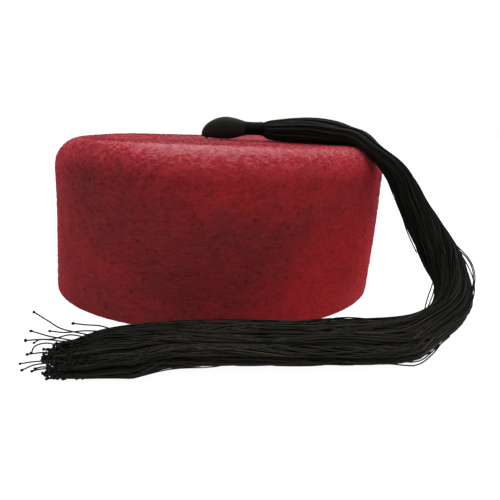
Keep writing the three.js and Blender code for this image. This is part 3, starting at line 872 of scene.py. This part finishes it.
def tubes(name, lines, radii, sides, tones):
    """Threads along rows of lines, as closed tubes in one piece, with a tone at each step of each thread and
    a map along it."""
    count, steps, _ = lines.shape
    along = unit(np.gradient(lines, axis=1))
    side = unit(np.cross(np.broadcast_to(THREAD_GUIDE, lines.shape), along))
    upright = np.cross(along, side)
    angle = 2 * np.pi * np.arange(sides) / sides
    ring = side[:, :, None] * np.cos(angle)[:, None] + upright[:, :, None] * np.sin(angle)[:, None]
    places = lines[:, :, None] + ring * radii[:, :, None, None]
    walls, caps = tube_faces(count, steps, sides)
    piece = mesh_piece(name, to_hat_place(places.reshape(-1, 3)), [walls, caps])
    add_shade(piece, "tone", np.repeat(np.broadcast_to(tones, (count, steps)).ravel(), sides))
    run = np.cumsum(np.linalg.norm(np.diff(lines, axis=1, prepend=lines[:, :1]), axis=2), axis=1)
    across = np.broadcast_to(np.arange(sides), (count, steps - 1, sides)) / sides
    low = np.broadcast_to(run[:, :-1, None], across.shape)
    high = np.broadcast_to(run[:, 1:, None], across.shape)
    step = 1 / sides
    wall_map = np.stack((
        np.stack((across, low), -1), np.stack((across + step, low), -1),
        np.stack((across + step, high), -1), np.stack((across, high), -1)), 3).reshape(-1, 2)
    cap_map = np.zeros((caps.size, 2))
    thread_map = piece.data.uv_layers.new(name="thread")
    thread_map.data.foreach_set("uv", np.concatenate((wall_map, cap_map)).astype(np.float32).ravel())
    return piece


def waves(random, count, run, lengths):
    """Smooth aimless drift for each thread, built of a few slow waves. lengths: (shortest, longest, size)."""
    drift = np.zeros((count, len(run)))
    for low, high, size in lengths:
        length = random.uniform(low, high, count)[:, None]
        start = random.uniform(0, 2 * np.pi, count)[:, None]
        drift += size * np.sin(2 * np.pi * run[None, :] / length + start)
    return drift


def thread_courses(random):
    """Where each thread runs in the bundle's section, as shares of its half width and half depth, and what
    its clump adds to its length and its tone."""
    loose = np.interp(skirt_run, *zip(*LOOSENED))
    out = np.sqrt(random.uniform(INNER_AREA, 1, CLUMPS))[:, None]
    out = out + loose * waves(random, CLUMPS, skirt_run, CLUMP_OUTWARD)
    turn = (2 * np.pi * np.arange(CLUMPS) / CLUMPS)[:, None]
    turn = turn + loose * waves(random, CLUMPS, skirt_run, CLUMP_ROUND)
    own = np.repeat(np.arange(CLUMPS), THREADS_A_CLUMP)
    clump_length = random.normal(0, CUT_SPREAD, CLUMPS)[own]
    clump_tone = random.normal(0, CLUMP_TONE, CLUMPS)[own]
    single = STEADY + (1 - STEADY) * loose
    across = (out * np.cos(turn))[own] + random.normal(0, CLUMP_WIDTH, THREADS)[:, None]
    across = across + single * waves(random, THREADS, skirt_run, THREAD_SIDEWAYS)
    above = (out * np.sin(turn))[own] + random.normal(0, CLUMP_HEIGHT, THREADS)[:, None]
    above = above + single * waves(random, THREADS, skirt_run, THREAD_UPWARD)
    return across, above, clump_length, clump_tone


def held_in_locks(random, across, above):
    """The threads' places with the outermost held by the bundle's skin, which is furrowed in locks that
    wind round it."""
    reach = np.hypot(across, above)
    angle = np.arctan2(above, across)
    furrow = (np.cos(angle * SKIRT_LOCKS) / 2 + 0.5) ** LOCK_SHARPNESS
    outline = 1 - LOCK_GROOVE / (SKIRT_DEPTH / 2) * furrow
    skin = outline * random.uniform(*SKIN, THREADS)[:, None]
    held = np.where(reach > skin, skin + SKIN_GIVE * (reach - skin), reach)
    angle = angle + LOCK_TURN * skirt_run / SKIRT_LENGTH
    return held * np.cos(angle), held * np.sin(angle)


def free_ends(random, lines, part):
    """How the lines run on past the skirt's end: along the front, and each with a small curl of its own."""
    ahead = unit(END_FOLLOWS * unit(lines[:, -1] - lines[:, -3]) + END_WAY)
    curl = random.normal(0, 1, (THREADS, 2)) * END_CURL
    return (
        lines[:, -1:, :]
        + ahead[:, None, :] * (TIP_REACH * part)[:, None]
        + skirt_side[-1] * (curl[:, :1] * part ** 2)[:, :, None]
        + UP * (curl[:, 1:] * part ** 2)[:, :, None])


def thread_tones(random, run, clump_tone):
    """Each thread's tone at each step: black with painted light and shade along the run, and here and there
    brown.
    """
    brown = random.uniform(0, 1, THREADS) < BROWN_SHARE
    browns = random.uniform(*BROWN_TONES, THREADS)
    blacks = random.uniform(*BLACK_TONES, THREADS) + clump_tone
    own = np.where(brown, browns, blacks)[:, None]
    # Painted light and shade along the run.
    lit_along_run = np.interp(run, *zip(*PAINTED_LIGHT_ALONG_RUN))
    least, growth = BROWN_LIT_ALONG_RUN
    return np.clip(np.where(own > BROWN_LEVEL, own * (least + growth * lit_along_run), own + lit_along_run), 0, 1)


def thread_lines():
    """Every thread's line from under the binding to its cut end, with its radius and tone."""
    random = np.random.default_rng(THREAD_SEED)
    across, above, clump_length, clump_tone = thread_courses(random)
    across, above = held_in_locks(random, across, above)
    squeeze = np.sqrt(skirt_size[:, 0] * skirt_size[:, 1] / (SKIRT_WIDTH * SKIRT_DEPTH / 4))
    radius = THREAD_RADIUS * np.clip(squeeze, THINNEST, 1)
    sideways = ((skirt_size[:, 0] - radius) * across)[:, :, None] * skirt_side
    upward = ((skirt_size[:, 1] - radius) * above)[:, :, None] * skirt_upright
    lines = skirt_middle + sideways + upward

    part = np.linspace(0, 1, END_STEPS + 1)[1:]
    lines = np.concatenate((lines, free_ends(random, lines, part)), axis=1)
    run = np.concatenate((skirt_run, SKIRT_LENGTH + TIP_REACH * part))
    settling = (SKIRT_LENGTH - SETTLE_RUN, SKIRT_LENGTH + TIP_REACH)
    lines[..., 2] *= np.interp(run, settling, (1, END_SETTLES))

    high = np.clip(above[:, -1] / 2 + 0.5, 0, 1)
    cut = CUT + CUT_ON_TOP * high ** 2 + CUT_IN_FRONT * across[:, -1] + clump_length
    cut = np.clip(cut - random.exponential(CUT_SHORT, THREADS), *CUT_LIMITS)
    kept = run / run[-1] * (SKIRT_LENGTH + TIP_REACH * cut)[:, None]
    place = np.interp(kept, run, np.arange(len(run)))
    step = np.minimum(place.astype(int), len(run) - 2)
    beyond = (place - step)[..., None]
    which = np.arange(THREADS)[:, None]
    lines = lines[which, step] * (1 - beyond) + lines[which, step + 1] * beyond
    radii = np.interp(kept, skirt_run, radius) * random.uniform(*THICKNESSES, THREADS)[:, None]
    lines[..., 2] = np.maximum(lines[..., 2], radii)
    return lines, radii, thread_tones(random, kept, clump_tone)


def plain_thread(name, places, faces_of_size):
    """A piece in the thread's plain black, with no run along it."""
    piece = mesh_piece(name, to_hat_place(places.reshape(-1, 3)), faces_of_size)
    add_shade(piece, "tone", np.zeros(len(piece.data.vertices)))
    piece.data.uv_layers.new(name="thread")
    return piece


def skirt_core():
    """The threads inside the bundle, which don't show singly, as one body in the bundle's own shape."""
    angle = 2 * np.pi * np.arange(CORE_SIDES) / CORE_SIDES
    half = skirt_size[:, :2] * CORE_SHARE
    rings = (
        skirt_middle[:, None]
        + skirt_side[:, None] * (half[:, :1] * np.cos(angle))[:, :, None]
        + skirt_upright[:, None] * (half[:, 1:] * np.sin(angle))[:, :, None])[:-CORE_ENDS]
    return plain_thread("skirt_core", rings, tube_faces(1, len(rings), CORE_SIDES))


# Thread colours in linear light
THREAD_BLACK = (0.0009, 0.0010, 0.0007)
# the grey that black thread is painted towards where light falls on it along the run
THREAD_GREY = (0.0135, 0.0122, 0.0088)
THREAD_BROWN = (0.034, 0.022, 0.0135)
THREAD_GLOSS = (1.0, 0.98, 0.86, 1)
PLY_MAP = (2, 900, 1)   # how often the map along the thread is repeated, for the twist of its plies


def thread_material():
    """Spun black thread: two plies twisted together, mostly black and some grey brown, with a soft sheen."""
    thread = Finish("black_thread")
    dye_and_light = thread.ramp(thread.shade("tone"), ((0.0, THREAD_BLACK), (0.45, THREAD_GREY), (1.0, THREAD_BROWN)))
    along = thread.node("UVMap", {}, uv_map="thread").outputs["UV"]
    twist = thread.node(
        "TexWave", {"Vector": thread.scaled(along, PLY_MAP)}, {"Scale": 0.62, "Distortion": 0.6},
        wave_type="BANDS", bands_direction="DIAGONAL")
    return thread.done(
        {"Roughness": 0.55, "Specular IOR Level": 0.095, "Specular Tint": THREAD_GLOSS},
        colour=dye_and_light,
        relief=thread.relief(twist.outputs["Fac"], strength=0.5, distance=0.00012))


black_thread = thread_material()


def dress_thread(piece):
    """Gives a thread piece its dye and its place on the hat."""
    piece.data.materials.clear()
    piece.data.materials.append(black_thread)
    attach(piece, "root")
    return piece


all_lines, all_radii, all_tones = thread_lines()
for first in range(0, THREADS, THREADS_A_PIECE):
    some = slice(first, first + THREADS_A_PIECE)
    name = f"skirt_threads_{first // THREADS_A_PIECE + 1}"
    dress_thread(
        tubes(name, all_lines[some], all_radii[some], THREAD_SIDES, all_tones[some]))
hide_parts("tassel")
dress_thread(skirt_core())

# A small knot holds each thread's cut end.
END_KNOT = 0.00062
END_KNOT_SIZES = (0.75, 1.25)   # each knot's own size each way, shares of that
END_KNOT_SIDES = 6
END_KNOT_RINGS = 4


def end_knots(name, lines):
    """One small knot at the last point of each line, all in one piece."""
    deselect_all()
    bpy.ops.mesh.primitive_uv_sphere_add(
        segments=END_KNOT_SIDES, ring_count=END_KNOT_RINGS, radius=1, location=(0, 0, 0))
    pattern = bpy.context.active_object
    ball = corners_of(pattern)
    faces = [np.array(face.vertices[:]) for face in pattern.data.polygons]
    bpy.data.objects.remove(pattern)
    random = np.random.default_rng(THREAD_SEED)
    count = len(lines)
    size = END_KNOT * random.uniform(*END_KNOT_SIZES, (count, 3))
    places = lines[:, -1][:, None] + ball[None] * size[:, None]
    places[..., 2] = np.maximum(places[..., 2], 0)
    first = (np.arange(count) * len(ball))[:, None, None]
    sorted_faces = [
        (first + np.array([face for face in faces if len(face) == corners])[None]).reshape(-1, corners)
        for corners in (3, 4)]
    return plain_thread(name, places, sorted_faces)


dress_thread(end_knots("skirt_end_knots", all_lines))


# Strayed threads
# A few threads have worked loose from the bundle: bows at the turn, single threads beside the run, and
# some past the frayed end, each with the small knot at its cut end.
STRAY_STEPS = 40
STRAY_SIDES = 6
STRAY_THICKNESS = 0.8   # a share of the other threads'
STRAY_TONES = (0, 0.4)
BOW_FOOT = 0.95         # where a bow leaves and joins the bundle, a share of its section
BOW_FLATNESS = 1.4      # how softly it leaves

# leaves, joins: metres along the skirt. turn: degrees round the section, from the front side. bow: how far
# it stands out, in metres. lean: shifts the bow's middle.
BOWS = (
    # leaves, joins, turn, bow, lean
    (0.141, 0.170, 30, 0.0026, 1.0),
    (0.144, 0.167, 26, 0.0020, 0.9),
    (0.146, 0.174, 22, 0.0012, 1.1),
    (0.161, 0.190, 186, 0.0032, 0.8),
    (0.164, 0.188, 190, 0.0021, 0.9),
    (0.112, 0.140, 226, 0.0008, 1.0),
    (0.187, 0.216, 312, 0.0026, 1.0),
    (0.190, 0.210, 310, 0.0017, 1.0),
    (0.184, 0.206, 308, 0.0009, 1.0),
    (0.214, 0.238, 132, 0.0010, 1.0),
    (0.220, 0.246, 134, 0.0007, 1.0),
    (0.090, 0.128, 60, 0.0006, 1.0),
    (0.255, 0.300, 128, 0.0005, 1.0),
)

# Threads past the end, in millimetres from the middle of the rim: first how far in front, then the
# places along the thread as (x, height).
END_STRAYS = (
    (-122, (-38, 13), (-44, 15), (-49, 15.4), (-54.2, 16)),
    (-124, (-42, 11), (-53.6, 13.4), (-58.7, 15), (-63.2, 18.2), (-67.7, 21.4)),
    (-125, (-44, 10), (-54.4, 12.6), (-61.2, 10.9), (-66.4, 10.5), (-68.3, 9.3)),
    (-126, (-44, 8.5), (-54.5, 10.9), (-62.5, 12.6), (-66.1, 13.8), (-68.6, 14.6)),
    (-126.5, (-44, 8), (-54.6, 10.1), (-63.7, 11.4), (-70.7, 11)),
    (-127, (-45, 5), (-54.8, 6.8), (-62, 10.1), (-67.2, 8.9), (-68.9, 6)),
    (-128, (-46, 6), (-56.3, 6.8), (-64, 6.8), (-70, 6)),
    (-129, (-48, 4), (-60.2, 3.9), (-67.6, 3.5), (-72.5, 2.7)),
    (-130, (-48, 3), (-60.2, 3.5), (-66.9, 2.7), (-71.6, 0.6)),
    (-131, (-50, 2), (-60.3, 1.8), (-64.8, 1.4), (-67.6, 0.7)),
    (-132, (-50, 3), (-58.5, 2.4), (-63.5, 2.9), (-66, 2.2)),
    (-121, (-40, 12), (-50, 12.5), (-58, 11.8), (-63.5, 12.4)),
)


def bow_lines():
    """Each bow's line: on the bundle's skin at both ends, and out from it between."""
    lines = []
    for leaves, joins, turn, bow, lean in BOWS:
        share = np.linspace(0, 1, STRAY_STEPS)
        place = leaves + (joins - leaves) * share
        middle, side, upright, half = (
            np.column_stack([np.interp(place, skirt_run, column) for column in rows.T])
            for rows in (skirt_middle, skirt_side, skirt_upright, skirt_size[:, :2]))
        angle = math.radians(turn)
        out = bow * np.sin(np.pi * share ** lean) ** BOW_FLATNESS
        across = (half[:, 0] * BOW_FOOT + out) * math.cos(angle)
        above = (half[:, 1] * BOW_FOOT + out) * math.sin(angle)
        line = middle + side * across[:, None] + upright * above[:, None]
        line[:, 2] = np.maximum(line[:, 2], THREAD_RADIUS)
        lines.append(line)
    return np.array(lines)


def end_stray_lines():
    """The lines of the single threads past the frayed end."""
    lines = []
    for front, *places in END_STRAYS:
        points = np.array([(x, front, height) for x, height in places]) / 1000
        lines.append(through(points, np.linspace(0, 1, STRAY_STEPS)))
    return np.array(lines)


end_strays = end_stray_lines()
strays = np.concatenate((bow_lines(), end_strays))
stray_radii = np.full(strays.shape[:2], THREAD_RADIUS * STRAY_THICKNESS)
stray_tones = np.linspace(*STRAY_TONES, len(strays))[:, None]
dress_thread(tubes("stray_threads", strays, stray_radii, STRAY_SIDES, stray_tones))
dress_thread(end_knots("stray_end_knots", end_strays))


# Tassel head
# The threads run over a small core from the nose to the neck, where the binding draws them in. The knob
# lies on the felt with its nose let down to the tie.
HEAD_THREADS = 84
HEAD_THREAD = 0.00029
HEAD_THREAD_SIDES = 5
HEAD_STEPS = 30
HEAD_BUNCHING = 1.25    # how much closer the steps stand at the nose
HEAD_TURN = math.radians(14)
HEAD_NOSE = 0.012       # where the threads start, a share of the way from nose to neck
CORE_NOSE = 0.05        # and where the core does
HEAD_OVERLAP = 1.35     # how much wider the threads are than their room at the nose
HEAD_TONES = (0.2, 0.5)
HEAD_CORE_GAP = 0.00022
HEAD_CORE_STEPS = 24
HEAD_CORE_SIDES = 32

# along: share of the head's length. radius: share of its radius.
HEAD_OUTLINE = (
    # along, radius
    (0.0, 0.0),
    (0.015, 0.24),
    (0.07, 0.47),
    (0.18, 0.7),
    (0.32, 0.87),
    (0.46, 0.97),
    (0.6, 1.0),
    (0.74, 0.94),
    (0.86, 0.83),
    (0.95, 0.73),
    (1.01, 0.66),
    (1.08, BOUND_RADIUS / HEAD_RADIUS),
    (1.4, BOUND_RADIUS / HEAD_RADIUS),
)


def head_profile(share):
    """The knob's place along X, its radius and its middle's height, at shares of the way to the neck."""
    outline = through(np.array(HEAD_OUTLINE, float), share)
    along, radius = outline[:, 0] * HEAD_LENGTH, np.maximum(outline[:, 1], 0) * HEAD_RADIUS
    widest = HEAD_LENGTH * max(HEAD_OUTLINE, key=lambda row: row[1])[0]
    sag = np.where(along < widest, NOSE_SAG * (HEAD_RADIUS - radius), 0)
    return along + HEAD_START, radius, HEAD_HEIGHT - sag


def head_lines():
    """The threads over the knob, evenly round it and a little turned."""
    share = np.linspace(HEAD_NOSE, 1, HEAD_STEPS) ** HEAD_BUNCHING
    along, radius, height = head_profile(share)
    thread = np.minimum(HEAD_THREAD, np.pi * radius / HEAD_THREADS * HEAD_OVERLAP)
    angle = 2 * np.pi * np.arange(HEAD_THREADS)[:, None] / HEAD_THREADS + HEAD_TURN * share
    lines = np.stack((
        np.broadcast_to(along, angle.shape),
        (radius - thread) * np.cos(angle),
        height + (radius - thread) * np.sin(angle)), -1)
    return lines, np.broadcast_to(thread, angle.shape).copy()


head_rows, head_radii = head_lines()
head_tones = np.random.default_rng(THREAD_SEED).uniform(*HEAD_TONES, (HEAD_THREADS, 1))
dress_thread(tubes("head_threads", head_rows, head_radii, HEAD_THREAD_SIDES, head_tones))

core_along, core_radius, core_height = head_profile(np.linspace(CORE_NOSE, 1, HEAD_CORE_STEPS))
head_core = turned_shape(
    "head_core",
    [(float(radius - HEAD_CORE_GAP), float(along), float(HEAD_HEIGHT - height))
     for along, radius, height in zip(core_along, core_radius, core_height)],
    HEAD_CORE_SIDES, closed_start=True)
core_places = corners_of(head_core)
core_places = np.column_stack((core_places[:, 2], core_places[:, 1], HEAD_HEIGHT - core_places[:, 0]))
put_corners(head_core, to_hat_place(core_places))
pick(head_core)
bpy.ops.object.mode_set(mode="EDIT")
bpy.ops.mesh.select_all(action="SELECT")
bpy.ops.mesh.normals_make_consistent(inside=False)
bpy.ops.object.mode_set(mode="OBJECT")
bpy.ops.object.shade_smooth()
dress_thread(head_core)


# Neck binding
# Black thread wound close round the neck, turn by turn from the head to the skirt. It draws the threads
# in and holds them, and its end turns climb a little on the swelling threads.
BINDING_STEPS = 22      # to a turn
BINDING_THREAD = 0.00028
BINDING_THICKNESS = 0.0014
BINDING_TURNS = round(BINDING_LENGTH / (2 * BINDING_THREAD)) - 1
BINDING_RADIUS = NECK_RADIUS + BINDING_THICKNESS - BINDING_THREAD
BINDING_FLARE = 0.0003  # how far its end turns climb
FLARE_START = 2.5       # and how near the ends they start to


def wound_line():
    """One thread's line, turn by turn round the neck."""
    angle = np.linspace(0, 2 * np.pi * BINDING_TURNS, BINDING_TURNS * BINDING_STEPS + 1)
    share = angle / angle[-1]
    start = HEAD_END + CLEARANCE + BINDING_THREAD
    along = start + (BINDING_LENGTH - 2 * BINDING_THREAD) * share
    swell = BINDING_RADIUS + BINDING_FLARE * np.abs(2 * share - 1) ** FLARE_START
    return np.column_stack((along, swell * np.cos(angle), HEAD_HEIGHT + swell * np.sin(angle)))


def rope_piece(name, line, radius, roundness):
    """A round thread along a line, as a closed mesh. roundness: how finely its section is cut."""
    curve = bpy.data.curves.new(name, "CURVE")
    curve.dimensions = "3D"
    curve.bevel_depth = radius
    curve.bevel_resolution = roundness
    curve.use_fill_caps = True
    spline = curve.splines.new("POLY")
    spline.points.add(len(line) - 1)
    placed = to_hat_place(line)
    spline.points.foreach_set("co", np.column_stack((placed, np.ones(len(placed)))).ravel())
    rope = bpy.data.objects.new(name, curve)
    bpy.context.scene.collection.objects.link(rope)
    pick(rope)
    bpy.ops.object.convert(target="MESH")
    rope = bpy.context.active_object
    bpy.ops.object.shade_smooth()
    return rope


neck_binding = rope_piece("wound_binding", wound_line(), BINDING_THREAD, roundness=1)
dress_thread(neck_binding)
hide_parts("neck_binding")


# Tassel tie
# A short twisted cord of two plies. It goes from the head's nose down through the hole in the felt, and
# a knot inside the crown stops it.
NOSE_HEIGHT = HEAD_HEIGHT - NOSE_SAG * HEAD_RADIUS
UNDER_FELT = CROWN_HEIGHT - FELT - CLEARANCE
KNOT_RADIUS = 0.0032
KNOT_THREAD = 0.00085
KNOT_FLATNESS = 0.75
KNOT_STEPS = 72
PLY_RADIUS = 0.00052
PLY_PITCH = 0.0032
PLY_TAIL = 0.001        # how far the plies run on into the knot
ROPE_ROUNDNESS = 2
PLY_STEPS = 40


def ply_line(start_angle):
    """One ply's line up through the felt."""
    height = np.linspace(UNDER_FELT - PLY_TAIL, NOSE_HEIGHT, PLY_STEPS)
    angle = 2 * np.pi * height / PLY_PITCH + start_angle
    swing = TIE_RADIUS - PLY_RADIUS
    return np.column_stack((TIE_X + swing * np.cos(angle), swing * np.sin(angle), height))


def knot_line():
    """An overhand knot drawn up tight, lying flat under the felt."""
    angle = np.linspace(0, 2 * np.pi, KNOT_STEPS + 1)
    inner = (KNOT_RADIUS - KNOT_THREAD) / 3
    x = inner * (np.sin(angle) + 2 * np.sin(2 * angle))
    y = inner * (np.cos(angle) - 2 * np.cos(2 * angle))
    z = UNDER_FELT - KNOT_RADIUS - (KNOT_RADIUS - KNOT_THREAD) * KNOT_FLATNESS * np.sin(3 * angle)
    return np.column_stack((TIE_X + x, y, z))


CORD_DARK = (0.045, 0.036, 0.030)
CORD_LIGHT = (0.16, 0.13, 0.11)


def cord_material():
    """Grey brown cotton cord, fuzzy and a little uneven in its dye."""
    cord = Finish("tie_cord")
    place = cord.object_place()
    uneven = cord.noise(place, scale=900, detail=4)
    fuzz = cord.noise(place, scale=4000, detail=3)
    return cord.done(
        {"Roughness": 0.8, "Sheen Weight": 0.3},
        colour=cord.ramp(uneven, ((0.3, CORD_DARK), (0.7, CORD_LIGHT))),
        relief=cord.relief(fuzz, strength=0.5, distance=0.0002))


tie_dye = cord_material()
tie_pieces = [
    rope_piece("tie_ply_1", ply_line(0), PLY_RADIUS, ROPE_ROUNDNESS),
    rope_piece("tie_ply_2", ply_line(math.pi), PLY_RADIUS, ROPE_ROUNDNESS),
    rope_piece("tie_knot", knot_line(), KNOT_THREAD, ROPE_ROUNDNESS),
]
for tie_piece in tie_pieces:
    tie_piece.data.materials.clear()
    tie_piece.data.materials.append(tie_dye)
    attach(tie_piece, "root")
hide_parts("tassel_tie")


# Floor and light
# A plain white floor and a white surround, with a broad soft light overhead and one on each side.
FLOOR_HALF = 4.0
FLOOR_GREY = (0.2, 0.2, 0.2, 1)
FLOOR_GLOW = 0.95       # the floor glows by itself, so that it stays as white as the surround
WHITE = (1, 1, 1, 1)
LIGHTS = (
    # name, place, aim, size, watts
    ("overhead_light", (0.1, 0.1, 0.9), (0, 0, 0.05), 0.8, 7),
    ("left_light", (-0.9, -0.1, 0.35), (0, 0, 0.04), 0.6, 1.5),
    ("right_light", (0.9, -0.1, 0.35), (0, 0, 0.04), 0.6, 1.5),
)

deselect_all()
bpy.ops.mesh.primitive_plane_add(size=2 * FLOOR_HALF, location=(0, 0, 0))
floor = bpy.context.active_object
floor.name = "floor"
floor.data.materials.append(Finish("floor_paint").done({
    "Base Color": FLOOR_GREY,
    "Emission Color": WHITE,
    "Emission Strength": FLOOR_GLOW,
    "Roughness": 0.9,
    "Specular IOR Level": 0.1,
}))

surround = bpy.data.worlds.new("surround")
surround.use_nodes = True
surround_light = surround.node_tree.nodes["Background"]
surround_light.inputs["Color"].default_value = WHITE
surround_light.inputs["Strength"].default_value = 1.0
bpy.context.scene.world = surround

for name, place, aim, size, watts in LIGHTS:
    lamp = bpy.data.lights.new(name, "AREA")
    lamp.size = size
    lamp.energy = watts
    holder = bpy.data.objects.new(name, lamp)
    bpy.context.scene.collection.objects.link(holder)
    holder.location = place
    holder.rotation_euler = (Vector(aim) - Vector(place)).to_track_quat("-Z", "Y").to_euler()

bpy.context.scene.view_settings.view_transform = "Standard"
